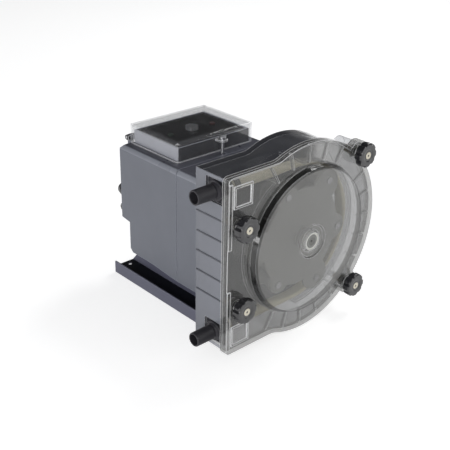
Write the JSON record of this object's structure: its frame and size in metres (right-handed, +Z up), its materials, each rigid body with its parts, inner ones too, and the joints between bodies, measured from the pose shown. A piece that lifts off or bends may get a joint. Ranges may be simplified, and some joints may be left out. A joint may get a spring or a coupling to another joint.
{
  "type": "peristaltic metering pump",
  "caption": "Peristaltic metering pump: clear round head with roller rotor and tube, side hose fittings, stepped motor housing, lidded controls, flanged base.",
  "frame": {"origin": "middle of the base bracket's underside, on the plane it stands on", "axes": "+X to the right seen from the pump head, +Y from the pump head back to the rear face along the rotor's axis, +Z up"},
  "size_m": [0.325, 0.3521, 0.288],
  "materials": {
    "paint": "satin blue-grey paint",
    "panel_grey": "matt",
    "panel_black": "gloss",
    "steel": "brushed",
    "alloy": "satin",
    "clear": "smoked clear moulding",
    "black_plastic": "satin black",
    "brass": "machined",
    "tube": "soft cream tube",
    "seal": "black",
    "motor": "satin",
    "rotor_grey": "moulded grey",
    "nylon": "natural nylon",
    "green_button": "gloss",
    "red_button": "gloss",
    "board": "solder resist"
  },
  "bodies": {
    "root": {"base_side_left": "paint", "base_side_right": "paint", "base_saddle": "paint", "base_ribs": "paint", "base_screws": "steel", "gear_housing": "paint", "motor_housing": "paint", "housing_screws": "steel", "control_plinth": "panel_grey", "control_panel": "panel_black", "circuit_board": "board", "lid_hinge_pins": "steel", "inlet_gland": "black_plastic", "signal_gland": "black_plastic", "head_housing": "clear", "head_screws": "steel", "threaded_inserts": "brass", "tube": "tube", "inlet_fitting": "black_plastic", "outlet_fitting": "black_plastic", "tube_clamps": "black_plastic", "shaft_seal": "seal", "front_bearing": "steel", "rear_bearing": "steel", "gear_plate": "alloy", "plate_pillars": "steel", "plate_screws": "steel", "screw_sleeves": "steel", "motor": "motor"},
    "rotor": {"drive_shaft": "steel", "drive_gear": "brass", "rotor_front_plate": "rotor_grey", "rotor_back_plate": "rotor_grey", "rotor_hub": "rotor_grey", "roller_pins": "steel"},
    "motor_shaft": {"motor_pinion": "steel"},
    "cover": {"front_cover": "clear", "cover_bushing": "nylon"},
    "lid": {"lid": "clear"},
    "catch": {"lid_catch": "alloy"},
    "speed_knob": {"speed_knob": "alloy"},
    "start_button": {"start_button": "green_button"},
    "stop_button": {"stop_button": "red_button"},
    "squeeze_roller_1": {"squeeze_roller_1": "nylon"},
    "squeeze_roller_2": {"squeeze_roller_2": "nylon"},
    "squeeze_roller_3": {"squeeze_roller_3": "nylon"},
    "guide_roller_1": {"guide_roller_1": "nylon"},
    "guide_roller_2": {"guide_roller_2": "nylon"},
    "guide_roller_3": {"guide_roller_3": "nylon"},
    "knob_travel_1": {"knob_washer_1": "nylon"},
    "knob_1": {"knob_1": "black_plastic"},
    "knob_travel_2": {"knob_washer_2": "nylon"},
    "knob_2": {"knob_2": "black_plastic"},
    "knob_travel_3": {"knob_washer_3": "nylon"},
    "knob_3": {"knob_3": "black_plastic"},
    "knob_travel_4": {"knob_washer_4": "nylon"},
    "knob_4": {"knob_4": "black_plastic"}
  },
  "joints": [
    {"name": "rotor_spin", "type": "hinge", "parent": "root", "child": "rotor", "pos_m": [0, -0.1925, 0.145], "axis": [0, 1, 0], "continuous": true},
    {"name": "motor_spin", "type": "hinge", "parent": "root", "child": "motor_shaft", "pos_m": [0, -0.09, 0.1], "axis": [0, 1, 0], "continuous": true},
    {"name": "squeeze_roller_1_spin", "type": "hinge", "parent": "rotor", "child": "squeeze_roller_1", "pos_m": [0.05047, -0.1625, 0.21709], "axis": [0, 1, 0], "continuous": true},
    {"name": "squeeze_roller_2_spin", "type": "hinge", "parent": "rotor", "child": "squeeze_roller_2", "pos_m": [-0.08767, -0.1625, 0.15267], "axis": [0, 1, 0], "continuous": true},
    {"name": "squeeze_roller_3_spin", "type": "hinge", "parent": "rotor", "child": "squeeze_roller_3", "pos_m": [0.03719, -0.1625, 0.06524], "axis": [0, 1, 0], "continuous": true},
    {"name": "guide_roller_1_spin", "type": "hinge", "parent": "rotor", "child": "guide_roller_1", "pos_m": [-0.03212, -0.1625, 0.21388], "axis": [0, 1, 0], "continuous": true},
    {"name": "guide_roller_2_spin", "type": "hinge", "parent": "rotor", "child": "guide_roller_2", "pos_m": [-0.04359, -0.1625, 0.08274], "axis": [0, 1, 0], "continuous": true},
    {"name": "guide_roller_3_spin", "type": "hinge", "parent": "rotor", "child": "guide_roller_3", "pos_m": [0.07571, -0.1625, 0.13838], "axis": [0, 1, 0], "continuous": true},
    {"name": "cover_lift_off", "type": "slide", "parent": "root", "child": "cover", "axis": [0, -1, 0], "range_m": [0, 0.08]},
    {"name": "knob_1_travel", "type": "slide", "parent": "cover", "child": "knob_travel_1", "axis": [0, -1, 0], "range_m": [0, 0.0064]},
    {"name": "knob_1_turn", "type": "hinge", "parent": "knob_travel_1", "child": "knob_1", "pos_m": [-0.129, -0.1925, 0.205], "axis": [0, -1, 0], "range_deg": [0, 1800]},
    {"name": "knob_2_travel", "type": "slide", "parent": "cover", "child": "knob_travel_2", "axis": [0, -1, 0], "range_m": [0, 0.0064]},
    {"name": "knob_2_turn", "type": "hinge", "parent": "knob_travel_2", "child": "knob_2", "pos_m": [-0.129, -0.1925, 0.085], "axis": [0, -1, 0], "range_deg": [0, 1800]},
    {"name": "knob_3_travel", "type": "slide", "parent": "cover", "child": "knob_travel_3", "axis": [0, -1, 0], "range_m": [0, 0.0064]},
    {"name": "knob_3_turn", "type": "hinge", "parent": "knob_travel_3", "child": "knob_3", "pos_m": [0.09896, -0.1925, 0.25002], "axis": [0, -1, 0], "range_deg": [0, 1800]},
    {"name": "knob_4_travel", "type": "slide", "parent": "cover", "child": "knob_travel_4", "axis": [0, -1, 0], "range_m": [0, 0.0064]},
    {"name": "knob_4_turn", "type": "hinge", "parent": "knob_travel_4", "child": "knob_4", "pos_m": [0.09896, -0.1925, 0.03998], "axis": [0, -1, 0], "range_deg": [0, 1800]},
    {"name": "lid_hinge", "type": "hinge", "parent": "root", "child": "lid", "pos_m": [0, 0.122, 0.225], "axis": [-1, 0, 0], "range_deg": [0, 105]},
    {"name": "catch_turn", "type": "hinge", "parent": "lid", "child": "catch", "pos_m": [0.005, -0.0085, 0.24], "axis": [0, 0, 1], "range_deg": [0, 90]},
    {"name": "speed_turn", "type": "hinge", "parent": "root", "child": "speed_knob", "pos_m": [0, 0.05725, 0.2415], "axis": [0, 0, 1], "range_deg": [-135, 135]},
    {"name": "start_press", "type": "slide", "parent": "root", "child": "start_button", "axis": [0, 0, -1], "range_m": [0, 0.001], "stiffness_N_per_m": 600},
    {"name": "stop_press", "type": "slide", "parent": "root", "child": "stop_button", "axis": [0, 0, -1], "range_m": [0, 0.001], "stiffness_N_per_m": 600}
  ],
  "couplings": [
    {"joint": "motor_spin", "follows": "rotor_spin", "ratio": -4},
    {"joint": "squeeze_roller_1_spin", "follows": "rotor_spin", "ratio": -7.7692},
    {"joint": "squeeze_roller_2_spin", "follows": "rotor_spin", "ratio": -7.7692},
    {"joint": "squeeze_roller_3_spin", "follows": "rotor_spin", "ratio": -7.7692},
    {"joint": "guide_roller_1_spin", "follows": "rotor_spin", "ratio": -7.08},
    {"joint": "guide_roller_2_spin", "follows": "rotor_spin", "ratio": -7.08},
    {"joint": "guide_roller_3_spin", "follows": "rotor_spin", "ratio": -7.08},
    {"joint": "knob_1_travel", "follows": "knob_1_turn", "m_per_rad": 0.00019894},
    {"joint": "knob_2_travel", "follows": "knob_2_turn", "m_per_rad": 0.00019894},
    {"joint": "knob_3_travel", "follows": "knob_3_turn", "m_per_rad": 0.00019894},
    {"joint": "knob_4_travel", "follows": "knob_4_turn", "m_per_rad": 0.00019894}
  ]
}
